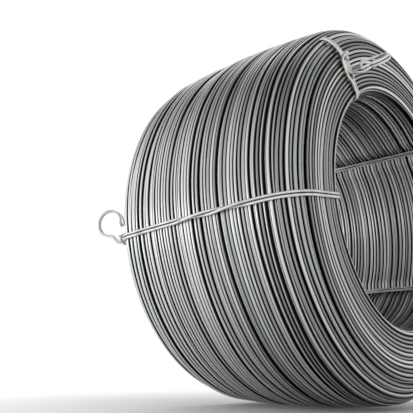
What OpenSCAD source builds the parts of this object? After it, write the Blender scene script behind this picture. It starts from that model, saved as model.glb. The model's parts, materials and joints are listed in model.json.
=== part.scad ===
// Coil of wire rod standing on its rim. The rod is wound in layers round an open eye,
// every turn at the surface shows as a round ridge, and doubled wire ties bind the coil
// across its section. The axis runs along Y, and the origin is the centre of the eye.

/* [Wire rod] */
// Diameter of the wire rod
wire_d = 6.5; // [5.5:0.5:8]
// Clear gap between neighbouring turns at the surface
turn_gap = 0.4; // [0.2:0.1:0.8]

/* [Coil] */
// Diameter over the outermost turns
coil_d = 660; // [560:5:760]
// Depth of the winding, from the eye to the barrel
winding = 130; // [120:1:150]
// Width over the end turns
coil_w = 372; // [330:2:420]
// Radius of the crown across the barrel
crown_r = 1500; // [900:50:3000]
// Radius of the rounded shoulders between the barrel and the ends
shoulder_r = 52; // [40:1:56]

/* [Ties] */
// Diameter of the tie wire
tie_d = 4.5; // [4:0.5:6]
// Clearance between a tie and the turns under it, and between its own strands
tie_seat = 0.3; // [0.2:0.05:0.5]
// Bend radius of a tie at the edges of the eye, on its centre line
tie_bend_r = 12; // [9:1:16]
// Length of barrel over which the two strands of a tie wrap once round each other
tie_wrap_l = 145; // [100:5:160]
// Length of barrel past that wrap, on the side away from the knot
tie_wrap_inset = 22; // [10:1:60]

/* [Knots] */
// Radius of the loop that ends a tie, on its centre line
loop_r = 22; // [16:1:30]
// Share of a full turn that the loop makes
loop_share = 0.75; // [0.6:0.01:0.77]
// Half width of the eye at the tip of the loop, on its centre line
loop_tip_r = 7; // [5:0.5:8]
// Bend radius where the loop leaves the coil
loop_bend_r = 10; // [8:1:14]
// Height of the loop's underside off the tie, between centre lines
loop_clear = 10; // [9:0.5:14]
// How far the loop is bent over sideways
loop_shift = 12; // [0:1:16]
// Place of a knot at the far end, as an angle down the shoulder
far_knot_angle = 64; // [50:1:90]
// Place of a knot at the near end, where more than 90 lies on the flat of the end
near_knot_angle = 108; // [75:1:108]

/* [Tie places] */
// Angle of the front tie, from +X towards +Z
front_tie_angle = 188; // [180:1:200]
// Slant of the front tie across the barrel
front_tie_slant = 2.4; // [0:0.1:4]
// Angle of the top tie, which runs under the outer turns of the barrel
top_tie_angle = 129; // [110:1:140]
// Angle of the back tie
back_tie_angle = 45; // [30:1:80]
// Angle of the low tie, clear of the floor line
low_tie_angle = -35; // [-50:1:10]

/* [Hidden] */
$fn = 96;

steel = [0.42, 0.42, 0.43];
tie_steel = [0.62, 0.62, 0.60];

// Which end of the coil carries a tie's knot, and which way its loop leans
FAR_END = 1;
NEAR_END = -1;
LEAN_BACK = -1;
LEAN_ON = 1;

tie_sides = 8;
arc_steps = 10;
crown_steps = 3;
wrap_steps = 12;
loop_steps = 14;
tip_steps = 6;
bend_steps = 5;
twist_steps = 7;
stub_steps = 4;
overrun = wire_d;

wire_r = wire_d / 2;
tie_r = tie_d / 2;
coil_r = coil_d / 2;
eye_r = coil_r - winding;
half_w = coil_w / 2;

// The shoulder's centre, tangent to the end plane and to the crown
shoulder_y = half_w - shoulder_r;
crown_centre = coil_r - crown_r;
shoulder_x = crown_centre + sqrt(pow(crown_r - shoulder_r, 2) - pow(shoulder_y, 2));
crown_angle = asin(shoulder_y / (crown_r - shoulder_r));

function arc(centre, r, from, to, steps) =
    [for (k = [0:steps]) let (a = from + (to - from) * k / steps) centre + r * [cos(a), sin(a)]];
function flip(list) = [for (k = [len(list) - 1:-1:0]) list[k]];
function unit(v) = v / norm(v);
function heading(path, k) = unit(path[min(k + 1, len(path) - 1)] - path[max(k - 1, 0)]);
function mix(a, b, t) = a + (b - a) * t;
function clamped(t) = min(1, max(0, t));
function ease(t) = let (c = clamped(t)) c * c * (3 - 2 * c);
function arc_length(r, angle) = r * angle * PI / 180;
function arc_angle(r, length) = length / r * 180 / PI;

// The line of turn centres, one wire radius under the surface: up one end from the eye, over
// the shoulder, across the crown and down the other end
turn_first_x = eye_r + wire_r + turn_gap;
end_l = shoulder_x - turn_first_x;
bend_l = arc_length(shoulder_r - wire_r, 90 - crown_angle);
crown_l = arc_length(crown_r - wire_r, 2 * crown_angle);
turn_line_l = 2 * end_l + 2 * bend_l + crown_l;
turn_count = floor(turn_line_l / (wire_d + turn_gap));

// A turn at a distance along the first half of that line: its centre, and the way it faces
function half_turn(s) =
    s < end_l ? [turn_first_x + s, half_w - wire_r, 90] :
    s < end_l + bend_l ?
        let (a = mix(90, crown_angle, (s - end_l) / bend_l))
            concat([shoulder_x, shoulder_y] + (shoulder_r - wire_r) * [cos(a), sin(a)], a) :
        let (a = crown_angle * (1 - 2 * (s - end_l - bend_l) / crown_l))
            concat([crown_centre, 0] + (crown_r - wire_r) * [cos(a), sin(a)], a);
function turn(s) =
    s <= turn_line_l / 2 ? half_turn(s) :
        let (t = half_turn(turn_line_l - s)) [t[0], -t[1], -t[2]];

// The round ridge of one turn, in a few sides of the polygon that touches the rod's own circle
ridge_sides = 8;
ridge_flats = 3;
ridge_reach = 180 * ridge_flats / ridge_sides;
ridge_r = wire_r / cos(180 / ridge_sides);
function ridge(t) =
    [for (k = [0:ridge_flats]) let (a = t[2] + ridge_reach * (1 - 2 * k / ridge_flats))
        [t[0], t[1]] + ridge_r * [cos(a), sin(a)]];
ridges = [for (k = [0:turn_count]) each ridge(turn(turn_line_l * k / turn_count))];

// The turns along the eye, between the first turns of the two ends. Their middle flats are its wall.
eye_line_l = coil_w - wire_d;
eye_turn_count = floor(eye_line_l / (wire_d + turn_gap));
eye_ridges = [for (k = [1:eye_turn_count - 1])
    each ridge([eye_r + wire_r, mix(-eye_line_l, eye_line_l, k / eye_turn_count) / 2, -180])];

module coil_section() {
    polygon(flip(concat(ridges, eye_ridges)));
}

// A tie's centre line: how far it stands off the turns, its place on the ends and in the eye,
// and half the pitch of its two strands
standoff = tie_seat + tie_r;
route_r = shoulder_r + standoff;
crown_route_r = crown_r + standoff;
tie_face_y = half_w + standoff;
tie_eye_x = eye_r + standoff;
strand_u = tie_r + tie_seat / 2;

// A tie that runs under the outer turns dives one turn deep between two angles of the shoulder
dive_depth = wire_d + tie_d + 2 * tie_seat;
dive_from_angle = 46;
dive_to_angle = 24;
function dive(a, buried) =
    buried ? dive_depth * ease((dive_from_angle - a) / (dive_from_angle - dive_to_angle)) : 0;

// Places on a tie's route as [radius, axial place]: round the shoulder, where more than 90 runs on
// down the flat of the end, and across the crown
function route_point(a, buried, off) =
    a > 90 ? [shoulder_x - arc_length(route_r, a - 90), tie_face_y + off] :
        [shoulder_x, shoulder_y] + (route_r - dive(a, buried) + off) * [cos(a), sin(a)];
function crown_point(a, buried, off) =
    [crown_centre, 0] + (crown_route_r - dive(a, buried) + off) * [cos(a), sin(a)];
function route_line(from, to, buried) =
    [for (k = [0:arc_steps]) route_point(mix(from, to, k / arc_steps), buried, 0)];
// The places across the crown, as angles: they lie closer together where the strands wrap
crown_half = crown_route_r * sin(crown_angle);
wrap_end = tie_wrap_inset - crown_half;
wrap_start = wrap_end + tie_wrap_l;
function spaced(from, to, steps) = [for (k = [1:steps]) mix(from, to, k / steps)];
crown_line = concat(
    spaced(crown_half, wrap_start, crown_steps),
    spaced(wrap_start, wrap_end, wrap_steps),
    spaced(wrap_end, -crown_half, crown_steps));
crown_places = [for (k = [0:len(crown_line) - 2]) asin(crown_line[k] / crown_route_r)];
dive_line = route_line(dive_from_angle, crown_angle, true);
sunk_line = [for (a = crown_places) crown_point(a, true, 0)];
function lift(points, u) = [for (p = points) [p[0], p[1], u]];
function mirror_y(points) = [for (p = points) [for (k = [0:len(p) - 1]) k == 1 ? -p[k] : p[k]]];

// The bed that a tie presses into the innermost turns, so that it lies flush with the eye
bed_w = 4 * strand_u + tie_seat;
bed_off = -tie_r - 2 * tie_seat;
bed_x = tie_eye_x - bed_off;
bed_y = tie_face_y + bed_off;
bed_bend_r = tie_bend_r + bed_off;
bed_top_x = bed_x + bed_bend_r;
eye_bed = concat(
    [[eye_r - overrun, -half_w - overrun], [bed_top_x, -half_w - overrun]],
    flip(arc([bed_top_x, -bed_y + bed_bend_r], bed_bend_r, 180, 270, arc_steps)),
    arc([bed_top_x, bed_y - bed_bend_r], bed_bend_r, 180, 90, arc_steps),
    [[bed_top_x, half_w + overrun], [eye_r - overrun, half_w + overrun]]);

// The channel of a tie that runs under the outer turns
channel_line = concat(dive_line, sunk_line, mirror_y(flip(dive_line)));
channel_y = dive_line[0][1];
channel = concat(
    [for (k = [0:len(channel_line) - 1]) let (d = heading(channel_line, k))
        channel_line[k] + bed_off * [-d[1], d[0]]],
    [[coil_r + overrun, -channel_y], [coil_r + overrun, channel_y]]);

// Puts a shape drawn as radius, axial place and sideways place at a tie's angle round the coil
module at_tie(angle) {
    rotate([0, -angle, 0])
        children();
}

module tie_cut(outline, slant = 0) {
    rotate([slant, 0, 0])
        linear_extrude(bed_w, center = true)
            polygon(outline);
}

module coil() {
    color(steel)
        difference() {
            rotate([-90, 0, 0])
                rotate_extrude()
                    coil_section();
            at_tie(front_tie_angle) tie_cut(eye_bed, front_tie_slant);
            at_tie(top_tie_angle) tie_cut(eye_bed);
            at_tie(top_tie_angle) tie_cut(flip(channel));
            at_tie(back_tie_angle) tie_cut(eye_bed);
            at_tie(low_tie_angle) tie_cut(eye_bed);
        }
}

// A tie's wire in its own frame. The wire is doubled: one strand runs from the tip of the loop
// over the barrel and back through the eye to a cut end, and the other strand mirrors it.
loop_twist_l = loop_r + loop_clear - loop_bend_r;
loop_angle = 360 * loop_share;
loop_flare_share = 0.3;
twist_end_share = 0.625;
shift_start_share = 0.45;

// A place near the knot: along the tie towards the barrel, off the coil, and sideways
function knot_place(knot, along, off, u) =
    concat(route_point(knot - arc_angle(route_r, along), false, off), u);
// A place on the loop: away from the barrel, out from the knot, and sideways
function loop_place(knot, away, out, u) =
    let (a = min(knot, 90))
        concat(route_point(knot, false, 0) + away * [-sin(a), cos(a)] + out * [cos(a), sin(a)], u);

function loop_offset(t) = mix(strand_u, loop_tip_r, ease((t - 1 + loop_flare_share) / loop_flare_share));
function loop_point(knot, side, lean, t, offset, ahead) =
    let (a = loop_angle * t)
        loop_place(knot, loop_bend_r + side * offset,
                   loop_bend_r + loop_twist_l + loop_r * sin(a) + ahead * cos(a),
                   lean * (loop_shift + loop_r * (1 - cos(a)) + ahead * sin(a)));
function loop_strand(knot, side, lean) =
    [for (k = [loop_steps:-1:1]) let (t = k / loop_steps)
        loop_point(knot, side, lean, t, loop_offset(t), 0)];

// The tip of the loop, where one strand turns into the other
function loop_tip(knot, lean) =
    [for (k = [1:tip_steps - 1]) let (a = 180 * k / tip_steps)
        loop_point(knot, cos(a), lean, 1, loop_tip_r, loop_tip_r * sin(a))];

function twist_strand(knot, side, lean) =
    [for (k = [twist_steps:-1:1])
        let (t = k / twist_steps,
             a = 90 * ease(t / twist_end_share),
             shift = loop_shift * ease((t - shift_start_share) / (1 - shift_start_share)))
            loop_place(knot, loop_bend_r + side * strand_u * sin(a), loop_bend_r + loop_twist_l * t,
                       side * strand_u * cos(a) + lean * shift)];
function root_strand(knot, side) =
    [for (k = [bend_steps:-1:1]) let (a = 90 * k / bend_steps)
        loop_place(knot, loop_bend_r * sin(a), loop_bend_r * (1 - cos(a)), side * strand_u)];

// Across the crown the strands wrap once round each other: first one lies on top, then the other
function crown_strand(side) =
    [for (a = crown_places)
        let (turn = 360 * clamped((wrap_start - crown_route_r * sin(a)) / tie_wrap_l),
             rise = strand_u * (abs(sin(turn)) + side * sin(turn)))
            concat(crown_point(a, false, rise), side * strand_u * cos(turn))];

function edge_strand(side) =
    lift(arc([tie_eye_x + tie_bend_r, tie_face_y - tie_bend_r], tie_bend_r, 180, 90, bend_steps),
         side * strand_u);

// The cut end: it leaves its lane, passes beside the root of the loop and hooks over the strands.
// Shares of the tie's diameter, as [along the tie, off the coil, sideways].
stub_shares = [[-6, 0, 0.525], [-4.5, 0, 0.85], [-3, 0, 1.75], [0, 0, 1.8], [2.2, 0.25, 1.7],
               [3.4, 1.15, 0.8], [3.6, 1.3, -0.4], [3.7, 1.7, -1.3]];
stub_hook_start = 4;
stub_step_share = 1.35;
function spline(p, k, t) =
    let (a = p[max(0, k - 1)], b = p[k], c = p[k + 1], d = p[min(len(p) - 1, k + 2)])
        (2 * b + (c - a) * t + (2 * a - 5 * b + 4 * c - d) * t * t
            + (3 * b - a - 3 * c + d) * t * t * t) / 2;
function stub_strand(knot, side) =
    let (later = side > 0 ? stub_step_share : 0,
         points = [for (k = [0:len(stub_shares) - 1])
             let (s = stub_shares[k], along = s[0] + (k >= stub_hook_start ? later : 0))
                 knot_place(knot, tie_d * along, tie_d * s[1], side * tie_d * s[2])])
        concat([for (k = [0:len(points) - 2], j = [0:stub_steps - 1]) spline(points, k, j / stub_steps)],
               [points[len(points) - 1]]);

// The way over a shoulder, from a place on the end to the crown
function shoulder_line(from, buried) =
    buried ?
        concat(route_line(from, dive_from_angle, true), [for (k = [1:arc_steps]) dive_line[k]]) :
        route_line(from, crown_angle, false);

function half_wire(knot, side, lean, buried) =
    concat(
        loop_strand(knot, side, lean),
        twist_strand(knot, side, lean),
        root_strand(knot, side),
        lift(shoulder_line(knot, buried), side * strand_u),
        buried ? lift(sunk_line, side * strand_u) : crown_strand(side),
        lift(mirror_y(flip(shoulder_line(90, buried))), side * strand_u),
        mirror_y(flip(edge_strand(side))),
        edge_strand(side),
        stub_strand(knot, side));

function tie_wire(end, knot, lean, slant, buried) =
    [for (p = concat(flip(half_wire(knot, 1, lean, buried)), loop_tip(knot, lean),
                     half_wire(knot, -1, lean, buried)))
        [p[0], end * p[1], p[2] + end * p[1] * tan(slant)]];

// A round wire swept along a path, with frames carried along it so that it doesn't twist
function square_to(n, t) = unit(n - (n * t) * t);
function normals(path) =
    [for (k = 0, n = square_to([0.3, 0.5, 0.8], heading(path, 0)); k < len(path);
          k = k + 1, n = k < len(path) ? square_to(n, heading(path, k)) : n) n];

module swept_wire(path, r, sides) {
    n = normals(path);
    rings = len(path);
    points = [for (k = [0:rings - 1], j = [0:sides - 1])
        let (a = 360 * j / sides, side = cross(heading(path, k), n[k]))
            path[k] + r * (cos(a) * n[k] + sin(a) * side)];
    walls = [for (k = [0:rings - 2], j = [0:sides - 1]) let (i = (j + 1) % sides)
        [k * sides + j, (k + 1) * sides + j, (k + 1) * sides + i, k * sides + i]];
    first_cap = [[for (j = [0:sides - 1]) j]];
    last_cap = [[for (j = [sides - 1:-1:0]) (rings - 1) * sides + j]];
    polyhedron(points, concat(walls, first_cap, last_cap), convexity = 10);
}

module tie(end, knot, lean, slant = 0, buried = false) {
    color(tie_steel)
        swept_wire(tie_wire(end, knot, lean, slant, buried), tie_r, tie_sides);
}

module tie_front() {
    at_tie(front_tie_angle) tie(FAR_END, far_knot_angle, LEAN_BACK, slant = front_tie_slant);
}

module tie_top() {
    at_tie(top_tie_angle) tie(NEAR_END, near_knot_angle, LEAN_BACK, buried = true);
}

module tie_back() {
    at_tie(back_tie_angle) tie(FAR_END, far_knot_angle, LEAN_ON);
}

module tie_low() {
    at_tie(low_tie_angle) tie(FAR_END, far_knot_angle, LEAN_ON);
}

coil();
tie_front();
tie_top();
tie_back();
tie_low();
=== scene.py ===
"""Coil of steel wire rod on its rim, dressed for a plain studio picture.

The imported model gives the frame, in metres. The axis of the coil runs along Y, Z is up, and the
origin is the centre of the eye. Each class below builds and dresses one sub-assembly.
"""
import json
import logging
import math
from dataclasses import dataclass, field
from enum import Enum

import bmesh
import bpy
import numpy as np
from mathutils import Matrix, Vector


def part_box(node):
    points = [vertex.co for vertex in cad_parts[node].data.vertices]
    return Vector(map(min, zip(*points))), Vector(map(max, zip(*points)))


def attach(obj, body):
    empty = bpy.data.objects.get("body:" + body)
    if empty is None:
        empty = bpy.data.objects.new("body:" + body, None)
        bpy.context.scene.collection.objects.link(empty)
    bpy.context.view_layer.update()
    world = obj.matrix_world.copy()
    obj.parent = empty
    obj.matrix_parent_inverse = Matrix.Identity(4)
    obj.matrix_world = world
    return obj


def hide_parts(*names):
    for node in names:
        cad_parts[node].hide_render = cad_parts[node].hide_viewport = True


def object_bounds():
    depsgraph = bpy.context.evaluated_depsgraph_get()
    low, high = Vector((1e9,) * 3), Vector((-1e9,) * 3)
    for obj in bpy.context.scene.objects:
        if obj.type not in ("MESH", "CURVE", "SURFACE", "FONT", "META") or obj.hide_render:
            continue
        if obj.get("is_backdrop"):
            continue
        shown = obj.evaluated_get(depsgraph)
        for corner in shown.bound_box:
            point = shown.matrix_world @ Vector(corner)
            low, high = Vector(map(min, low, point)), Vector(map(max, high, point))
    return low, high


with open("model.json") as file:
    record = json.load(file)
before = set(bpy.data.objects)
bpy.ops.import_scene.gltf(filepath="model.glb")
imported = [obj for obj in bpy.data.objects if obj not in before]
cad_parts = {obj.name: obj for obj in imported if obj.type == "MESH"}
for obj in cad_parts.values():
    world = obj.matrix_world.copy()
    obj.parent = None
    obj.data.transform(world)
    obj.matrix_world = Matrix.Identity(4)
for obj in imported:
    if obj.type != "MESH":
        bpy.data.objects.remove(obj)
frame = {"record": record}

LOG = logging.getLogger("coil_scene")
BODY = "root"
WHITE = (1.0, 1.0, 1.0, 1.0)

# A Mix node has several sockets of each name, so its colour sockets go by number.
MIX_FACTOR = 0
MIX_FIRST = 6
MIX_SECOND = 7
MIX_RESULT = 2

Colour = tuple[float, float, float]
Point = tuple[float, float, float]
Span = tuple[float, float]
Places = np.ndarray | float


class End(Enum):
    """Which end of the coil carries a tie's knot."""

    FAR = 1
    NEAR = -1


class Lean(Enum):
    """Which way round the coil a tie's loop leans."""

    BACK = -1
    ON = 1


def new_material(name: str) -> tuple[bpy.types.Material, bpy.types.NodeTree, bpy.types.Node]:
    """Start a node material.

    Args:
        name: The material's name.

    Returns:
        The material, its node tree and its principled shader.
    """
    material = bpy.data.materials.new(name)
    material.use_nodes = True
    tree = material.node_tree
    return material, tree, tree.nodes["Principled BSDF"]


def add_node(tree: bpy.types.NodeTree, kind: str, **values: object) -> bpy.types.Node:
    """Add a node and set its properties and inputs.

    Args:
        tree: The node tree.
        kind: The node's type name.
        **values: Properties by name; a name that is no property sets the input of that name.

    Returns:
        The new node.
    """
    node = tree.nodes.new(kind)
    for name, value in values.items():
        if hasattr(node, name):
            setattr(node, name, value)
        else:
            node.inputs[name.replace("_", " ")].default_value = value
    return node


def attribute(tree: bpy.types.NodeTree, name: str) -> bpy.types.NodeSocket:
    """Return the socket of a value that the piece's mesh holds under a name."""
    return add_node(tree, "ShaderNodeAttribute", attribute_name=name).outputs["Fac"]


def colour_ramp(tree: bpy.types.NodeTree, factor: bpy.types.NodeSocket, colours: tuple[Colour, ...],
                span: Span) -> bpy.types.NodeSocket:
    """Add a colour ramp.

    Args:
        tree: The node tree.
        factor: The value that runs along it.
        colours: Its colours, evenly spaced.
        span: The places of the first and the last colour.

    Returns:
        The socket of the colour.
    """
    ramp = add_node(tree, "ShaderNodeValToRGB")
    stops = ramp.color_ramp.elements
    while len(stops) < len(colours):
        stops.new(0.5)
    low, high = span
    for k, colour in enumerate(colours):
        stops[k].position = low + (high - low) * k / (len(colours) - 1)
        stops[k].color = (*colour, 1.0)
    tree.links.new(factor, ramp.inputs["Fac"])
    return ramp.outputs["Color"]


def multiply(tree: bpy.types.NodeTree, first: bpy.types.NodeSocket,
             second: bpy.types.NodeSocket) -> bpy.types.NodeSocket:
    """Multiply two colours.

    Args:
        tree: The node tree.
        first: The socket of one colour.
        second: The socket of the other.

    Returns:
        The socket of their product.
    """
    node = add_node(tree, "ShaderNodeMix", data_type="RGBA", blend_type="MULTIPLY")
    node.inputs[MIX_FACTOR].default_value = 1.0
    tree.links.new(first, node.inputs[MIX_FIRST])
    tree.links.new(second, node.inputs[MIX_SECOND])
    return node.outputs[MIX_RESULT]


def add_bump(tree: bpy.types.NodeTree, shader: bpy.types.Node, height: bpy.types.NodeSocket,
             strength: float, depth: float) -> None:
    """Roughen a shader's surface.

    Args:
        tree: The node tree.
        shader: The principled shader.
        height: The socket of the pattern.
        strength: How strongly it shows.
        depth: How deep it is.
    """
    bump = add_node(tree, "ShaderNodeBump", Strength=strength, Distance=depth)
    tree.links.new(height, bump.inputs["Height"])
    tree.links.new(bump.outputs["Normal"], shader.inputs["Normal"])


@dataclass(frozen=True)
class RodFinish:
    """Drawn steel rod: each turn has its own grey and tint, and painted shade darkens its flanks where the
    turns meet.
    """

    name: str = "rod_steel"
    dark: Colour = (0.2, 0.202, 0.202)
    light: Colour = (0.8, 0.805, 0.8)
    tone_span: Span = (0.25, 1.0)
    tints: tuple[Colour, ...] = (
        (0.94, 1.0, 0.985), (1.0, 1.0, 1.0), (0.955, 0.975, 1.0), (1.0, 0.992, 0.975), (1.0, 0.97, 0.985))
    # Painted shade: these colours darken each rod's flanks, where it meets the next turns, down to near
    # black.
    crevice_shade: tuple[Colour, ...] = (
        (0.01, 0.01, 0.011), (0.03, 0.03, 0.031), (0.3, 0.3, 0.305), (1.0, 1.0, 1.0))
    crevice_shade_span: Span = (0.45, 0.9)
    metallic: float = 0.95
    roughness: Span = (0.24, 0.42)
    streak_stretch: tuple[float, float, float] = (3.0, 1.0, 1.0)
    streak_scale: float = 60.0
    streak_detail: float = 3.0
    streak_roughness: float = 0.6
    streak_share: float = 0.5
    bump_strength: float = 0.15
    bump_depth: float = 0.0002

    def material(self) -> bpy.types.Material:
        """Build the finish from the values that a turn's mesh holds.

        Returns:
            The finish as a procedural material.
        """
        material, tree, shader = new_material(self.name)
        uv = add_node(tree, "ShaderNodeUVMap", uv_map="rod")
        stretch = add_node(tree, "ShaderNodeMapping", Scale=self.streak_stretch)
        tree.links.new(uv.outputs["UV"], stretch.inputs["Vector"])
        streaks = add_node(tree, "ShaderNodeTexNoise", Scale=self.streak_scale, Detail=self.streak_detail,
                           Roughness=self.streak_roughness)
        tree.links.new(stretch.outputs["Vector"], streaks.inputs["Vector"])
        marked = add_node(tree, "ShaderNodeMath", operation="MULTIPLY_ADD")
        tree.links.new(streaks.outputs["Fac"], marked.inputs[0])
        marked.inputs[1].default_value = self.streak_share
        tree.links.new(attribute(tree, "turn_tone"), marked.inputs[2])
        grey = colour_ramp(tree, marked.outputs["Value"], (self.dark, self.light), self.tone_span)
        tint = colour_ramp(tree, attribute(tree, "turn_tint"), self.tints, (0.0, 1.0))
        # Painted shade on the flanks of each turn, read from the mask that the mesh holds.
        crevice_shade = colour_ramp(tree, attribute(tree, "flank_shade_mask"), self.crevice_shade, self.crevice_shade_span)
        colour = multiply(tree, multiply(tree, grey, tint), crevice_shade)
        tree.links.new(colour, shader.inputs["Base Color"])
        rough = add_node(tree, "ShaderNodeMapRange", To_Min=self.roughness[0], To_Max=self.roughness[1])
        tree.links.new(streaks.outputs["Fac"], rough.inputs["Value"])
        tree.links.new(rough.outputs["Result"], shader.inputs["Roughness"])
        add_bump(tree, shader, streaks.outputs["Fac"], self.bump_strength, self.bump_depth)
        shader.inputs["Metallic"].default_value = self.metallic
        return material


@dataclass(frozen=True)
class TieFinish:
    """Bright tie wire with a little dirt in patches and painted shade in the cleft between its strands."""

    name: str = "tie_wire"
    bright: Colour = (0.82, 0.81, 0.78)
    dull: Colour = (0.5, 0.49, 0.46)
    # Painted shade laid in the cleft where the two strands meet.
    cleft: Colour = (0.03, 0.03, 0.028)
    metallic: float = 0.8
    roughness: float = 0.36
    patch_scale: float = 45.0
    patch_detail: float = 4.0
    patch_roughness: float = 0.6
    patch_span: Span = (0.3, 0.55)
    bump_strength: float = 0.2
    bump_depth: float = 0.0003

    def material(self) -> bpy.types.Material:
        """Build the finish.

        Returns:
            The finish as a procedural material.
        """
        material, tree, shader = new_material(self.name)
        place = add_node(tree, "ShaderNodeTexCoord")
        patches = add_node(tree, "ShaderNodeTexNoise", Scale=self.patch_scale, Detail=self.patch_detail,
                           Roughness=self.patch_roughness)
        tree.links.new(place.outputs["Object"], patches.inputs["Vector"])
        wire = colour_ramp(tree, patches.outputs["Fac"], (self.dull, self.bright), self.patch_span)
        # Painted shade in the cleft between the strands, where the open_side mask is low.
        cleft_shaded = add_node(tree, "ShaderNodeMix", data_type="RGBA")
        tree.links.new(attribute(tree, "open_side"), cleft_shaded.inputs[MIX_FACTOR])
        cleft_shaded.inputs[MIX_FIRST].default_value = (*self.cleft, 1.0)
        tree.links.new(wire, cleft_shaded.inputs[MIX_SECOND])
        tree.links.new(cleft_shaded.outputs[MIX_RESULT], shader.inputs["Base Color"])
        add_bump(tree, shader, patches.outputs["Fac"], self.bump_strength, self.bump_depth)
        shader.inputs["Metallic"].default_value = self.metallic
        shader.inputs["Roughness"].default_value = self.roughness
        return material


def put_in_scene(name: str, mesh: bpy.types.Mesh, material: bpy.types.Material,
                 node: str) -> bpy.types.Object:
    """Make a finished piece of the coil from a mesh.

    Args:
        name: The piece's name.
        mesh: Its mesh, in place in the row frame.
        material: Its material.
        node: The CAD node that it stands for.

    Returns:
        The piece, riding on the coil's body.
    """
    mesh.materials.append(material)
    mesh.polygons.foreach_set("use_smooth", np.ones(len(mesh.polygons), dtype=bool))
    piece = bpy.data.objects.new(name, mesh)
    bpy.context.scene.collection.objects.link(piece)
    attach(piece, BODY)
    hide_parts(node)
    LOG.info("%s: %d faces", name, len(mesh.polygons))
    return piece


def add_values(mesh: bpy.types.Mesh, name: str, values: np.ndarray) -> None:
    """Store one value for each vertex of a mesh, for its finish to read."""
    layer = mesh.attributes.new(name, "FLOAT", "POINT")
    layer.data.foreach_set("value", values.astype(np.float32))


@dataclass(frozen=True)
class Section:
    """The coil's rounded section: flat ends, round shoulders and a crowned barrel."""

    coil_r: float
    eye_r: float
    width: float
    rod_d: float = 0.0065
    crown_r: float = 1.5
    shoulder_r: float = 0.052
    step: float = 0.0005

    @property
    def shoulder_y(self) -> float:
        """Axial place of a shoulder's centre."""
        return self.width / 2 - self.shoulder_r

    @property
    def crown_centre(self) -> float:
        """Radius of the crown's centre, which is negative."""
        return self.coil_r - self.crown_r

    @property
    def shoulder_x(self) -> float:
        """Radius of a shoulder's centre."""
        reach = self.crown_r - self.shoulder_r
        return self.crown_centre + math.sqrt(reach**2 - self.shoulder_y**2)

    @property
    def crown_angle(self) -> float:
        """Angle from the middle of the crown to where a shoulder starts."""
        return math.asin(self.shoulder_y / (self.crown_r - self.shoulder_r))

    def arc(self, centre: tuple[float, float], r: float, start: float, stop: float) -> np.ndarray:
        """Points on an arc of the section.

        Args:
            centre: Radius and axial place of the arc's centre.
            r: The arc's radius.
            start: First angle, from the radial direction towards +Y.
            stop: Last angle.

        Returns:
            Rows of radius, axial place and facing angle.
        """
        steps = max(2, int(abs(stop - start) * r / self.step))
        a = np.linspace(start, stop, steps)
        return np.stack([centre[0] + r * np.cos(a), centre[1] + r * np.sin(a), a], axis=1)

    def line(self, start: tuple[float, float], stop: tuple[float, float], facing: float) -> np.ndarray:
        """Points on a straight stretch of the section.

        Args:
            start: Radius and axial place of its first point.
            stop: Radius and axial place of its last point.
            facing: The way that it faces, as an angle.

        Returns:
            Rows of radius, axial place and facing angle.
        """
        steps = max(2, int(math.dist(start, stop) / self.step))
        t = np.linspace(0.0, 1.0, steps)[:, None]
        points = np.asarray(start) * (1 - t) + np.asarray(stop) * t
        return np.hstack([points, np.full((steps, 1), facing)])

    def outside(self, depth: float) -> np.ndarray:
        """The line from the near edge of the eye, over the barrel, to the far edge.

        Args:
            depth: How far the line lies under the surface.

        Returns:
            Rows of radius, axial place and facing angle.
        """
        half, quarter = self.width / 2, math.pi / 2
        x, y, a = self.shoulder_x, self.shoulder_y, self.crown_angle
        return np.vstack([
            self.line((self.eye_r + depth, -half + depth), (x, -half + depth), -quarter),
            self.arc((x, -y), self.shoulder_r - depth, -quarter, -a),
            self.arc((self.crown_centre, 0.0), self.crown_r - depth, -a, a),
            self.arc((x, y), self.shoulder_r - depth, a, quarter),
            self.line((x, half - depth), (self.eye_r + depth, half - depth), quarter),
        ])

    def eye(self, depth: float) -> np.ndarray:
        """The line along the wall of the eye, as rows like those of the outside."""
        half = self.width / 2 - self.rod_d
        return self.line((self.eye_r + depth, -half), (self.eye_r + depth, half), math.pi)


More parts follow.
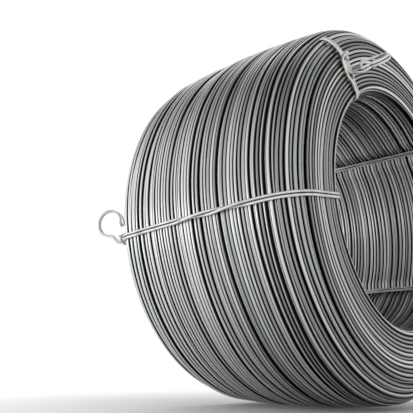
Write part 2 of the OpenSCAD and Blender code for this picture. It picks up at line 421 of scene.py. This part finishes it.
@dataclass
class TurnLayer:
    """One layer of rod turns, some of them low, whose gaps open and close as they go round.

    Gaps, levels and the lit bands of the painted flank shade are drawn as numbers without a unit.
    Gaps share out the slack of the layer, a level of 1 lies the full sink lower, and the lit band values
    are angles and shares.
    """

    line: np.ndarray
    rod_d: float
    fill: float
    seed: int
    sides: int = 12
    segments: int = 160
    waves: int = 4
    sink: float = 0.0044
    low_share: float = 0.27
    low_level: float = 0.8
    high_level: float = -0.35
    level_drift: float = 0.3
    uneven: float = 0.0005
    gap_mean: float = -0.35
    gap_spread: float = 0.9
    gap_drift: float = 0.7
    gap_limits: Span = (0.04, 2.0)
    least_pitch: float = 0.4
    presses: tuple["WireTie", ...] = ()
    press_depth: float = 0.0053
    press_angle: float = math.radians(5.5)
    press_flat: float = 1.5
    tones: Span = (0.36, 0.95)
    # Painted shade: the turns darken towards the near end and lighten towards the far end.
    near_end_shade: float = 0.34
    # Painted light: the lit band of the painted flank shade is wider towards the far side; the values
    # below shift and widen it at random for each turn.
    far_lit_widening: float = 0.14
    lit_band_aside: float = 0.2
    lit_band_wider: float = 0.08
    lit_band_drift: float = 0.4
    lit_band_limits: Span = (-0.5, 1.5)
    uv_spread: float = 50.0
    count: int = field(init=False)
    along: np.ndarray = field(init=False)

    def __post_init__(self) -> None:
        """Work out the distance along the line and how many turns it holds."""
        steps = np.hypot(*np.diff(self.line[:, :2], axis=0).T)
        self.along = np.concatenate([[0.0], np.cumsum(steps)])
        self.count = int(self.along[-1] * self.fill / self.rod_d) + 1

    @property
    def angles(self) -> np.ndarray:
        """The angle of each segment round the coil."""
        return np.arange(self.segments) * math.tau / self.segments

    def noise(self, rng: np.random.Generator, rows: int) -> np.ndarray:
        """Smooth closed noise round the coil, of unit height.

        Args:
            rng: The layer's random source.
            rows: How many rows of it.

        Returns:
            One column for each segment.
        """
        k = np.arange(1, self.waves + 1)
        phase = rng.uniform(0, math.tau, (rows, self.waves))
        height = rng.normal(0, 1, (rows, self.waves)) / np.sqrt(k)
        waves = np.cos(k[None, :, None] * self.angles[None, None, :] + phase[:, :, None])
        return np.einsum("nk,nks->ns", height, waves)

    def heights(self, rng: np.random.Generator) -> np.ndarray:
        """Let some of the turns lie low.

        Args:
            rng: The layer's random source.

        Returns:
            The height of each turn and segment over the line, which is negative.
        """
        low = rng.random((self.count, 1)) < self.low_share
        level = np.where(low, self.low_level, self.high_level)
        sunk = np.clip(level + self.level_drift * self.noise(rng, self.count), 0, 1)
        return -self.sink * sunk - self.uneven * rng.random((self.count, 1))

    def pitches(self, h: np.ndarray) -> np.ndarray:
        """Work out how near each turn can lie to the next, along the line.

        Args:
            h: The turns' heights.

        Returns:
            The pitch for each pair of turns and each segment, wider where a bend crowds low turns.
        """
        square = np.maximum(self.rod_d**2 - np.diff(h, axis=0) ** 2, self.least_pitch * self.rod_d**2)
        middle = np.arange(1, self.count) / self.count * self.along[-1]
        before, after = (np.interp(middle + way * self.rod_d, self.along, self.line[:, 2])
                         for way in (-0.5, 0.5))
        bend = (after - before)[:, None] / self.rod_d
        return np.sqrt(square) / (1 + bend * (h[:-1] + h[1:]) / 2)

    def places(self) -> tuple[np.ndarray, np.ndarray, np.ndarray]:
        """Lay the turns side by side, in bunches with open gaps between them.

        Returns:
            Radius and axial place of each turn's centre and the way it faces, for each turn and segment.
        """
        rng = np.random.default_rng(self.seed)
        gaps = rng.normal(self.gap_mean, self.gap_spread, (self.count + 1, 1))
        gaps = np.clip(gaps + self.gap_drift * self.noise(rng, self.count + 1), *self.gap_limits)
        h = self.heights(rng)
        pitch = self.pitches(h)
        slack = self.along[-1] - self.rod_d - pitch.sum(axis=0)
        gaps *= slack / gaps.sum(axis=0)
        s = np.cumsum(gaps[:-1], axis=0) + self.rod_d / 2
        s[1:] += np.cumsum(pitch, axis=0)
        radius, axial, facing = (np.interp(s, self.along, column) for column in self.line.T)
        for tie in self.presses:
            off = self.angles[None, :] - tie.angle_at(radius, axial)
            off = np.abs((off + math.pi) % math.tau - math.pi) / self.press_angle
            bed = self.press_flat * (1 + np.cos(math.pi * np.minimum(off, 1))) / 2
            h -= self.press_depth * np.clip(bed, 0, 1)
        return radius + h * np.cos(facing), axial + h * np.sin(facing), facing

    def lit_bands(self) -> tuple[np.ndarray, np.ndarray]:
        """Tell where the lit band of each turn's painted flank shade lies as it goes round.

        Returns:
            How far the bright line lies aside, as an angle, and how much wider it is, for each turn and
            segment.
        """
        rng = np.random.default_rng(self.seed + 2)
        aside = rng.normal(0, 1, (self.count, 1)) + self.lit_band_drift * self.noise(rng, self.count)
        wider = rng.normal(0, 1, (self.count, 1)) + self.lit_band_drift * self.noise(rng, self.count)
        return self.lit_band_aside * aside, self.lit_band_wider * np.clip(wider, *self.lit_band_limits)

    def template(self) -> tuple[np.ndarray, np.ndarray]:
        """Spin one turn for its faces.

        Returns:
            Each vertex's segment and side, and each face's four vertices.
        """
        bm = bmesh.new()
        bmesh.ops.create_circle(bm, segments=self.sides, radius=self.rod_d / 2,
                                matrix=Matrix.Translation((1.0, 0.0, 0.0)))
        bmesh.ops.spin(bm, geom=bm.verts[:] + bm.edges[:], axis=(0, 1, 0), cent=(0, 0, 0),
                       angle=math.tau, steps=self.segments, use_merge=True)
        bmesh.ops.recalc_face_normals(bm, faces=bm.faces[:])
        bm.verts.index_update()
        at = np.array([v.co[:] for v in bm.verts])
        faces = np.array([[v.index for v in f.verts] for f in bm.faces])
        bm.free()
        turn = np.arctan2(at[:, 2], at[:, 0]) / math.tau * self.segments
        side = np.arctan2(at[:, 1], np.hypot(at[:, 0], at[:, 2]) - 1.0) / math.tau * self.sides
        grid = np.stack([np.rint(turn) % self.segments, np.rint(side) % self.sides], axis=1)
        return grid.astype(int), faces

    def mesh(self, name: str, turns: np.ndarray, laid: tuple[np.ndarray, ...]) -> bpy.types.Mesh:
        """Join some of the layer's turns into one mesh, with the values that the finish reads.

        Args:
            name: The mesh's name.
            turns: Which turns to take.
            laid: The places of all the turns.

        Returns:
            The joined mesh.
        """
        radius, axial, _ = laid
        grid, faces = self.template()
        angle = grid[:, 0] * math.tau / self.segments
        around = grid[:, 1] * math.tau / self.sides
        r = radius[turns][:, grid[:, 0]] + self.rod_d / 2 * np.cos(around)
        y = axial[turns][:, grid[:, 0]] + self.rod_d / 2 * np.sin(around)
        points = np.stack([r * np.cos(angle), y, r * np.sin(angle)], axis=2).reshape(-1, 3)
        first = np.arange(len(turns)) * len(grid)
        quads = (faces[None] + first[:, None, None]).reshape(-1, 4)
        mesh = bpy.data.meshes.new(name)
        mesh.from_pydata(points, [], quads)
        rng = np.random.default_rng(self.seed + 1)
        for kind, values in self.finish_values(rng, turns, laid, grid).items():
            add_values(mesh, kind, values)
        self.unwrap(mesh, rng, len(turns), grid[faces].astype(float))
        mesh.update()
        return mesh

    def finish_values(self, rng: np.random.Generator, turns: np.ndarray, laid: tuple[np.ndarray, ...],
                      grid: np.ndarray) -> dict[str, np.ndarray]:
        """Work out each turn's tone, tint and painted flank shade; painted shade darkens the turns towards
        the near end.

        Args:
            rng: The finish's random source.
            turns: Which turns to take.
            laid: The places of all the turns.
            grid: The segment and side of each vertex of a turn.

        Returns:
            A value for each vertex, by the name under which the finish reads it.
        """
        _, axial, facing = laid
        segment, around = grid[:, 0], grid[:, 1] * math.tau / self.sides
        tone = rng.uniform(*self.tones, self.count)[turns]
        across = axial / np.abs(axial).max()
        across = np.where(across > 0, across * np.abs(np.cos(facing)), across)
        # Painted shade: the tone falls towards the near end and rises towards the far end.
        tone += self.near_end_shade * across[turns].mean(axis=1)
        tint = rng.random(self.count)[turns]
        aside, wider = self.lit_bands()
        # Painted light: a wider lit band towards the far side.
        wider += self.far_lit_widening * np.maximum(across, 0)
        # Mask of the painted flank shade: highest at the rod's outward face, lower round its flanks.
        off = around - (facing + aside)[turns][:, segment]
        flank_shade_mask = np.cos(off) + wider[turns][:, segment]
        return {"turn_tone": np.repeat(tone, len(grid)),
                "turn_tint": np.repeat(tint, len(grid)),
                "flank_shade_mask": flank_shade_mask.reshape(-1)}

    def unwrap(self, mesh: bpy.types.Mesh, rng: np.random.Generator, copies: int,
               corner: np.ndarray) -> None:
        """Lay a UV map along the rod of each turn, each turn at its own place in the pattern.

        Args:
            mesh: The joined mesh.
            rng: The finish's random source.
            copies: How many turns the mesh holds.
            corner: The segment and side of each corner of each face of a turn.
        """
        wide = np.ptp(corner, axis=1) > 1
        for axis, size in enumerate((self.segments, self.sides)):
            seam = (corner[:, :, axis] == 0) & wide[:, axis][:, None]
            corner[:, :, axis][seam] = size
        uv = corner / np.array([self.segments, self.sides])
        shift = rng.uniform(0, self.uv_spread, (copies, 1, 1, 1))
        layer = mesh.uv_layers.new(name="rod")
        layer.data.foreach_set("uv", (uv[None] + shift).reshape(-1).astype(np.float32))


@dataclass
class WoundRod:
    """The wound rod: its outer turns on barrel and ends, the turns under them, and the eye's.

    The depths of the layers beneath are in rod diameters, to the middle of the rod.
    """

    section: Section
    ties: tuple["WireTie", ...]
    under_depth: float = 2.2
    eye_under_depth: float = 1.42
    finish: RodFinish = RodFinish()
    # Painted shade: a darkened copy of the rod finish for the turns beneath, which show only in the gaps.
    under_finish: RodFinish = RodFinish(name="rod_steel_shaded_copy", dark=(0.03, 0.03, 0.031),
                                        light=(0.1, 0.1, 0.102), metallic=0.3, roughness=(0.5, 0.7))
    node: str = "coil"
    slot: str = "rod"

    def build(self) -> None:
        """Build and dress every visible turn."""
        steel, shaded_steel = self.finish.material(), self.under_finish.material()
        section, rod_d = self.section, self.section.rod_d
        self.outer_layer(TurnLayer(section.outside(rod_d / 2), rod_d, fill=1.05, seed=11), steel)
        under = TurnLayer(section.outside(rod_d * self.under_depth), rod_d, fill=0.97, seed=12,
                          sides=5, segments=96, sink=0.0)
        self.whole_layer("under_turns", under, shaded_steel)
        eye = TurnLayer(section.eye(rod_d / 2), rod_d, fill=0.93, seed=13,
                        sides=8, segments=180, sink=0.0015, presses=self.ties)
        self.whole_layer("eye_turns", eye, steel)
        eye_under = TurnLayer(section.eye(rod_d * self.eye_under_depth), rod_d, fill=0.98, seed=14,
                              sides=5, segments=180, sink=0.0, presses=self.ties)
        self.whole_layer("eye_under_turns", eye_under, shaded_steel)

    def outer_layer(self, layer: TurnLayer, steel: bpy.types.Material) -> None:
        """Build the outer layer as four pieces, split at the shoulders and the middle of the barrel.

        Args:
            layer: The outer turns.
            steel: Their material.
        """
        laid = layer.places()
        middle = laid[1].mean(axis=1)
        edge = self.section.shoulder_y + self.section.shoulder_r / 2
        stretches = {"near_end_turns": (-np.inf, -edge), "near_barrel_turns": (-edge, 0.0),
                     "far_barrel_turns": (0.0, edge), "far_end_turns": (edge, np.inf)}
        for name, (start, stop) in stretches.items():
            mesh = layer.mesh(name, np.flatnonzero((middle >= start) & (middle < stop)), laid)
            put_in_scene(name, mesh, steel, self.node)

    def whole_layer(self, name: str, layer: TurnLayer, steel: bpy.types.Material) -> None:
        """Build one layer as a single piece."""
        mesh = layer.mesh(name, np.arange(layer.count), layer.places())
        put_in_scene(name, mesh, steel, self.node)


def ease(t: Places) -> Places:
    """Go smoothly from 0 to 1 while t does."""
    c = np.clip(t, 0.0, 1.0)
    return c * c * (3 - 2 * c)


def joined(*columns: Places) -> np.ndarray:
    """Stack radius, axial place and sideways place into rows."""
    return np.stack(np.broadcast_arrays(*columns), axis=-1)


@dataclass(frozen=True)
class TieRoute:
    """The centre line of a doubled tie, as rows of radius, axial place and sideways place.

    A stub's rows give the way ahead past the knot, the way off the turns and the way aside, in
    diameters of the tie wire. The last rows, from stub_hook on, hook over the strands.
    """

    section: Section
    knot: float
    lean: Lean
    buried: bool
    tie_d: float = 0.0045
    seat: float = 0.0003
    bend_r: float = 0.012
    wrap_l: float = 0.145
    wrap_inset: float = 0.022
    loop_r: float = 0.022
    loop_angle: float = math.radians(270)
    loop_bend_r: float = 0.01
    loop_clear: float = 0.01
    loop_shift: float = 0.012
    shift_from: float = 0.45
    twist_share: float = 0.625
    tip_r: float = 0.007
    tip_from: float = 0.7
    dive_from: float = math.radians(46)
    dive_to: float = math.radians(24)
    stub: tuple[Point, ...] = (
        (-6, 0, 0.525), (-4.5, 0, 0.85), (-3, 0, 1.75), (0, 0, 1.8), (2.2, 0.25, 1.7), (3.4, 1.15, 0.8),
        (3.6, 1.3, -0.4), (3.7, 1.7, -1.3))
    stub_hook: int = 4
    stub_step: float = 1.35
    steps: int = 28

    @property
    def standoff(self) -> float:
        """How far the centre line stands off the turns."""
        return self.seat + self.tie_d / 2

    @property
    def route_r(self) -> float:
        """Radius of the route round a shoulder."""
        return self.section.shoulder_r + self.standoff

    @property
    def strand_u(self) -> float:
        """Half the pitch of the two strands."""
        return (self.tie_d + self.seat) / 2

    def dive(self, a: np.ndarray) -> np.ndarray:
        """How deep the route runs under the outer turns at angles of the shoulder."""
        depth = self.section.rod_d + self.tie_d + 2 * self.seat if self.buried else 0.0
        return depth * ease((self.dive_from - a) / (self.dive_from - self.dive_to))

    def around(self, a: np.ndarray, off: Places = 0.0) -> tuple[np.ndarray, np.ndarray]:
        """Places round a shoulder and down the flat of the end.

        Args:
            a: Angles from the radial direction; more than a right angle runs down the flat.
            off: How far off the route.

        Returns:
            Radius and axial place.
        """
        reach = self.route_r - self.dive(a) + off
        flat = np.maximum(a - math.pi / 2, 0.0)
        turn = np.minimum(a, math.pi / 2)
        radius = self.section.shoulder_x + reach * np.cos(turn) - self.route_r * flat
        return radius, self.section.shoulder_y + reach * np.sin(turn)

    def loop_place(self, away: Places, out: Places, u: Places) -> np.ndarray:
        """Places on the loop.

        Args:
            away: Distance from the knot, away from the barrel.
            out: Distance out from the coil.
            u: Sideways place.

        Returns:
            Rows of the route.
        """
        x, y = self.around(np.float64(self.knot))
        a = min(self.knot, math.pi / 2)
        radius = x - away * math.sin(a) + out * math.cos(a)
        return joined(radius, y + away * math.cos(a) + out * math.sin(a), u)

    def ring(self, t: Places, offset: Places, ahead: Places) -> np.ndarray:
        """Places on the round of the loop.

        Args:
            t: Share of the loop that is passed.
            offset: Distance to the side of its middle line.
            ahead: Distance on past that share, straight on.

        Returns:
            Rows of the route.
        """
        a = self.loop_angle * np.asarray(t)
        out = self.loop_r + self.loop_clear + self.loop_r * np.sin(a) + ahead * np.cos(a)
        side = self.loop_shift + self.loop_r * (1 - np.cos(a)) + ahead * np.sin(a)
        return self.loop_place(self.loop_bend_r + offset, out, self.lean.value * side)

    def loop_strand(self, side: int) -> np.ndarray:
        """One strand from the tip of the loop to the knot.

        Args:
            side: Which strand, 1 or -1.

        Returns:
            Rows of the route.
        """
        t = np.linspace(1.0, 0.0, 2 * self.steps, endpoint=False)
        spread = (self.tip_r - self.strand_u) * ease((t - self.tip_from) / (1 - self.tip_from))
        ring = self.ring(t, side * (self.strand_u + spread), 0.0)
        t = np.linspace(1.0, 0.0, self.steps, endpoint=False)
        a = math.pi / 2 * ease(t / self.twist_share)
        shift = self.loop_shift * ease((t - self.shift_from) / (1 - self.shift_from))
        twist = self.loop_place(self.loop_bend_r + side * self.strand_u * np.sin(a),
                                self.loop_bend_r + (self.loop_r + self.loop_clear - self.loop_bend_r) * t,
                                side * self.strand_u * np.cos(a) + self.lean.value * shift)
        a = math.pi / 2 * np.linspace(1.0, 0.0, self.steps // 2, endpoint=False)
        root = self.loop_place(self.loop_bend_r * np.sin(a), self.loop_bend_r * (1 - np.cos(a)),
                               side * self.strand_u)
        return np.vstack([ring, twist, root])

    def tip(self) -> np.ndarray:
        """The tip of the loop, where one strand turns into the other."""
        a = math.pi * np.linspace(0.0, 1.0, self.steps // 2)[1:-1]
        return self.ring(1.0, self.tip_r * np.cos(a), self.tip_r * np.sin(a))

    def crown_strand(self, side: int) -> np.ndarray:
        """One strand across the crown, where the two wrap once round each other.

        Args:
            side: Which strand, 1 or -1.

        Returns:
            Rows of the route.
        """
        a = self.section.crown_angle * np.linspace(1.0, -1.0, 3 * self.steps)[1:-1]
        reach = self.section.crown_r + self.standoff
        start = self.wrap_inset + self.wrap_l - reach * math.sin(self.section.crown_angle)
        turn = math.tau * np.clip((start - reach * np.sin(a)) / self.wrap_l, 0, 1) * (not self.buried)
        rise = self.strand_u * (np.abs(np.sin(turn)) + side * np.sin(turn))
        reach = reach + rise - self.dive(np.abs(a))
        return joined(self.section.crown_centre + reach * np.cos(a), reach * np.sin(a),
                      side * self.strand_u * np.cos(turn))

    def edge_strand(self, side: int) -> np.ndarray:
        """One strand round an edge of the eye, out of it.

        Args:
            side: Which strand, 1 or -1.

        Returns:
            Rows of the route.
        """
        a = np.linspace(math.pi, math.pi / 2, self.steps // 2)
        radius = self.section.eye_r + self.standoff + self.bend_r * (1 + np.cos(a))
        axial = self.section.width / 2 + self.standoff + self.bend_r * (np.sin(a) - 1)
        return joined(radius, axial, side * self.strand_u)

    def stub_strand(self, side: int) -> np.ndarray:
        """One cut end, which passes the root of the loop and hooks over the strands.

        Args:
            side: Which strand, 1 or -1; the first hooks over a step further on.

        Returns:
            Rows of the route.
        """
        shares = np.array(self.stub, dtype=float)
        shares[self.stub_hook:, 0] += self.stub_step * (side > 0)
        fine = np.linspace(0, len(shares) - 1, 2 * self.steps)
        slope = np.gradient(shares, axis=0)
        k = np.minimum(fine.astype(int), len(shares) - 2)
        t = (fine - k)[:, None]
        smooth = ((1 + 2 * t) * (1 - t) ** 2 * shares[k] + t * (1 - t) ** 2 * slope[k]
                  + t * t * (3 - 2 * t) * shares[k + 1] + t * t * (t - 1) * slope[k + 1])
        along, off, u = self.tie_d * smooth.T
        return joined(*self.around(self.knot - along / self.route_r, off), side * u)

    def half(self, side: int) -> np.ndarray:
        """One strand from the tip of the loop, over the barrel and through the eye, to its cut end.

        Args:
            side: Which strand, 1 or -1.

        Returns:
            Rows of the route.
        """
        a = np.linspace(self.knot, self.section.crown_angle, self.steps)
        first = joined(*self.around(a), side * self.strand_u)
        a = np.linspace(self.section.crown_angle, math.pi / 2, self.steps)
        flip = np.array([1.0, -1.0, 1.0])
        second = joined(*self.around(a), side * self.strand_u) * flip
        edge = self.edge_strand(side)
        return np.vstack([self.loop_strand(side), first, self.crown_strand(side), second,
                          edge[::-1] * flip, edge, self.stub_strand(side)])

    def whole(self) -> np.ndarray:
        """The whole wire, from one cut end to the other."""
        return np.vstack([self.half(1)[::-1], self.tip(), self.half(-1)])


@dataclass(frozen=True)
class WireTie:
    """A doubled wire tie round the coil's section, with a loop and two hooked ends.

    Angle, knot and slant are in degrees. The cleft between the strands runs from cleft_from to
    cleft_to, and a stretch of own_stretch on either side counts as the strand itself, all three in
    wire diameters.
    """

    name: str
    angle: float
    end: End
    knot: float
    lean: Lean
    slant: float = 0.0
    buried: bool = False
    sides: int = 12
    start_side: Point = (0.3, 0.5, 0.8)
    own_stretch: float = 4.0
    cleft_from: float = 0.55
    cleft_to: float = 1.0
    slot: str = "tie"

    def angle_at(self, radius: np.ndarray, axial: np.ndarray) -> np.ndarray:
        """The tie's angle round the coil at places in the eye."""
        return math.radians(self.angle) + axial * math.tan(math.radians(self.slant)) / radius

    def path(self, route: TieRoute) -> np.ndarray:
        """The tie's centre line in the row frame.

        Args:
            route: The centre line in the tie's own frame.

        Returns:
            Rows of X, Y and Z.
        """
        r, y, u = route.whole().T
        y = self.end.value * y
        u = u + y * math.tan(math.radians(self.slant))
        c, s = math.cos(math.radians(self.angle)), math.sin(math.radians(self.angle))
        return np.stack([r * c - u * s, y, r * s + u * c], axis=1)

    def frames(self, path: np.ndarray) -> list[Matrix]:
        """Carry a frame along a path without twist.

        Args:
            path: The wire's centre line.

        Returns:
            A frame at each point, with Z ahead.
        """
        ahead = np.gradient(path, axis=0)
        ahead /= np.linalg.norm(ahead, axis=1)[:, None]
        side = np.cross(ahead[0], self.start_side)
        frames = []
        for at, z in zip(path, ahead):
            x = side - z * (side @ z)
            side = x / np.linalg.norm(x)
            rows = np.column_stack([side, np.cross(z, side), z, at])
            frames.append(Matrix([*rows.tolist(), (0.0, 0.0, 0.0, 1.0)]))
        return frames

    def open_sides(self, points: np.ndarray, path: np.ndarray, tie_d: float) -> np.ndarray:
        """Tell the outside of the tie from the cleft between its strands.

        Args:
            points: The wire's vertices, ring after ring.
            path: The wire's centre line.
            tie_d: The wire's diameter.

        Returns:
            A value for each vertex, 0 where it meets another stretch of the wire and 1 where it lies open.
        """
        steps = np.linalg.norm(np.diff(path, axis=0), axis=1)
        along = np.concatenate([[0.0], np.cumsum(steps)])
        own = np.abs(along[:, None] - along[None, :]) < self.own_stretch * tie_d
        gap = np.linalg.norm(points.reshape(len(path), self.sides, 1, 3) - path, axis=3)
        gap[np.broadcast_to(own[:, None, :], gap.shape)] = np.inf
        nearest = gap.min(axis=2).reshape(-1) / tie_d
        return np.clip((nearest - self.cleft_from) / (self.cleft_to - self.cleft_from), 0, 1)

    def build(self, section: Section, material: bpy.types.Material) -> None:
        """Sweep the wire along its route and dress it.

        Args:
            section: The coil's section.
            material: The tie wire's material.
        """
        route = TieRoute(section, math.radians(self.knot), self.lean, self.buried)
        path = self.path(route)
        frames = self.frames(path)
        bm = bmesh.new()
        bmesh.ops.create_circle(bm, cap_ends=True, segments=self.sides, radius=route.tie_d / 2,
                                matrix=frames[0])
        rim = bm.edges[:]
        for last, here in zip(frames, frames[1:]):
            grown = bmesh.ops.extrude_edge_only(bm, edges=rim)["geom"]
            bmesh.ops.transform(bm, matrix=here @ last.inverted(),
                                verts=[v for v in grown if isinstance(v, bmesh.types.BMVert)])
            rim = [e for e in grown if isinstance(e, bmesh.types.BMEdge) and e.is_boundary]
        bmesh.ops.edgeloop_fill(bm, edges=rim)
        bmesh.ops.recalc_face_normals(bm, faces=bm.faces[:])
        mesh = bpy.data.meshes.new(self.name + "_wire")
        bm.to_mesh(mesh)
        bm.free()
        points = np.array([v.co[:] for v in mesh.vertices])
        # The mask for the painted shade in the cleft between the strands.
        add_values(mesh, "open_side", self.open_sides(points, path, route.tie_d))
        put_in_scene(self.name + "_wire", mesh, material, self.name)


@dataclass(frozen=True)
class Lamp:
    """A soft lamp that faces the coil."""

    name: str
    at: Point
    size: tuple[float, float]
    watts: float

    def hang(self) -> None:
        """Hang the lamp in its place."""
        data = bpy.data.lights.new(self.name, "AREA")
        data.shape = "RECTANGLE"
        data.size, data.size_y = self.size
        data.energy = self.watts
        lamp = bpy.data.objects.new(self.name, data)
        lamp.location = self.at
        lamp.rotation_euler = (-Vector(self.at)).to_track_quat("-Z", "Y").to_euler()
        bpy.context.scene.collection.objects.link(lamp)


@dataclass
class Studio:
    """Pale floor, white background, soft lamps and the camera at the photograph's angle.

    The floor is white to the eye from shade_to on, away from the coil. Nearer in, its white glow fades
    by distance from the coil, a painted darkening round it, down to floor_glow at shade_from, and the
    floor's own lit surface, with the coil's real shadow, shows through. Walls are white up to wall_top,
    as the height of a sight line.
    """

    floor_z: float
    floor_half: float = 12.0
    floor_colour: Colour = (0.85, 0.85, 0.85)
    floor_roughness: float = 0.9
    floor_glow: float = 0.05
    shade_from: float = 0.4
    shade_to: float = 0.82
    world_light: float = 0.7
    wall_top: float = 0.55
    ceiling: float = 0.12
    lamps: tuple[Lamp, ...] = (Lamp("key", (-1.5, 2.0, 0.0), (2.2, 0.6), 7.5),
                               Lamp("top", (0.4, 0.3, 2.6), (1.6, 1.6), 8.0))
    camera_at: Point = (-0.9755, -0.6306, -0.2584)
    camera_azimuth: float = -47.54
    camera_pitch: float = 14.32
    camera_near: float = 0.01
    focal_px: float = 620.0
    image_px: float = 413.0
    sensor_mm: float = 36.0

    def build(self) -> None:
        """Build the floor, the world, the lamps and the camera."""
        self.floor()
        self.world()
        for lamp in self.lamps:
            lamp.hang()
        self.camera()

    def floor_material(self) -> bpy.types.Material:
        """Build the floor's finish, which keeps the coil's soft shadow, its white glow fading towards the
        coil as painted darkening.

        Returns:
            The finish, pale near the coil and white to the eye further off.
        """
        material, tree, shader = new_material("studio_floor")
        shader.inputs["Base Color"].default_value = (*self.floor_colour, 1.0)
        shader.inputs["Roughness"].default_value = self.floor_roughness
        glow = add_node(tree, "ShaderNodeEmission")
        glow.inputs["Color"].default_value = WHITE
        blend = add_node(tree, "ShaderNodeMixShader")
        place = add_node(tree, "ShaderNodeTexCoord")
        reach = add_node(tree, "ShaderNodeVectorMath", operation="LENGTH")
        tree.links.new(place.outputs["Object"], reach.inputs[0])
        # Painted darkening: the white glow fades towards the coil by distance alone.
        level = add_node(tree, "ShaderNodeMapRange", From_Min=self.shade_from, From_Max=self.shade_to,
                         To_Min=self.floor_glow, To_Max=1.0)
        tree.links.new(reach.outputs["Value"], level.inputs["Value"])
        share = add_node(tree, "ShaderNodeMath", operation="MULTIPLY")
        tree.links.new(self.seen(tree), share.inputs[0])
        tree.links.new(level.outputs["Result"], share.inputs[1])
        tree.links.new(share.outputs["Value"], blend.inputs["Fac"])
        tree.links.new(shader.outputs["BSDF"], blend.inputs[1])
        tree.links.new(glow.outputs["Emission"], blend.inputs[2])
        tree.links.new(blend.outputs["Shader"], tree.nodes["Material Output"].inputs["Surface"])
        return material

    def floor(self) -> None:
        """Lay a plain pale floor."""
        bm = bmesh.new()
        bmesh.ops.create_grid(bm, x_segments=1, y_segments=1, size=self.floor_half,
                              matrix=Matrix.Translation((0.0, 0.0, self.floor_z)))
        mesh = bpy.data.meshes.new("studio_floor")
        bm.to_mesh(mesh)
        bm.free()
        mesh.materials.append(self.floor_material())
        floor = bpy.data.objects.new("studio_floor", mesh)
        bpy.context.scene.collection.objects.link(floor)
        floor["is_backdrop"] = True

    def world(self) -> None:
        """White walls and a grey ceiling to the eye and in reflections, and a softer grey as light."""
        world = bpy.data.worlds.new("studio")
        bpy.context.scene.world = world
        world.use_nodes = True
        tree = world.node_tree
        background = tree.nodes["Background"]
        way = add_node(tree, "ShaderNodeTexCoord")
        height = add_node(tree, "ShaderNodeSeparateXYZ")
        tree.links.new(way.outputs["Generated"], height.inputs["Vector"])
        white = add_node(tree, "ShaderNodeMapRange", From_Min=self.wall_top, From_Max=1.0, To_Min=1.0,
                         To_Max=self.ceiling)
        tree.links.new(height.outputs["Z"], white.inputs["Value"])
        level = add_node(tree, "ShaderNodeMapRange", To_Min=self.world_light)
        tree.links.new(self.seen(tree), level.inputs["Value"])
        tree.links.new(white.outputs["Result"], level.inputs["To Max"])
        tree.links.new(level.outputs["Result"], background.inputs["Strength"])
        background.inputs["Color"].default_value = WHITE

    def seen(self, tree: bpy.types.NodeTree) -> bpy.types.NodeSocket:
        """Add nodes that tell a sight, mirrored or not, from plain light.

        Args:
            tree: The node tree.

        Returns:
            The socket of a value that is 1 for rays of sight.
        """
        path = add_node(tree, "ShaderNodeLightPath")
        direct = add_node(tree, "ShaderNodeMath", operation="MAXIMUM")
        tree.links.new(path.outputs["Is Camera Ray"], direct.inputs[0])
        tree.links.new(path.outputs["Is Glossy Ray"], direct.inputs[1])
        through = add_node(tree, "ShaderNodeMath", operation="MAXIMUM")
        tree.links.new(direct.outputs["Value"], through.inputs[0])
        tree.links.new(path.outputs["Is Transmission Ray"], through.inputs[1])
        return through.outputs["Value"]

    def camera(self) -> None:
        """Set the camera where the photograph was taken from."""
        data = bpy.data.cameras.new("camera")
        data.sensor_width = self.sensor_mm
        data.lens = self.focal_px / self.image_px * self.sensor_mm
        data.clip_start = self.camera_near
        camera = bpy.data.objects.new("camera", data)
        camera.location = self.camera_at
        tilt = math.radians(90.0 + self.camera_pitch)
        camera.rotation_euler = (tilt, 0.0, math.radians(self.camera_azimuth))
        bpy.context.scene.collection.objects.link(camera)
        bpy.context.scene.camera = camera
        bpy.context.scene.view_settings.view_transform = "Standard"


def main() -> None:
    """Build the coil and its studio."""
    logging.basicConfig(level=logging.INFO, format="%(name)s: %(message)s")
    cad_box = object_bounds()
    low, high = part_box("coil")
    eye = next(m for m in frame["record"]["mounts"] if m["name"] == "eye")
    section = Section(coil_r=(high[0] - low[0]) / 2, eye_r=eye["dims"]["r_mm"] / 1000,
                      width=high[1] - low[1])
    Studio(floor_z=cad_box[0][2]).build()
    ties = (WireTie("tie_front", angle=188.0, end=End.FAR, knot=64.0, lean=Lean.BACK, slant=2.4),
            WireTie("tie_top", angle=129.0, end=End.NEAR, knot=108.0, lean=Lean.BACK, buried=True),
            WireTie("tie_back", angle=45.0, end=End.FAR, knot=64.0, lean=Lean.ON),
            WireTie("tie_low", angle=-35.0, end=End.FAR, knot=64.0, lean=Lean.ON))
    WoundRod(section, ties).build()
    tie_wire = TieFinish().material()
    for tie in ties:
        tie.build(section, tie_wire)


if __name__ == "__main__":
    main()
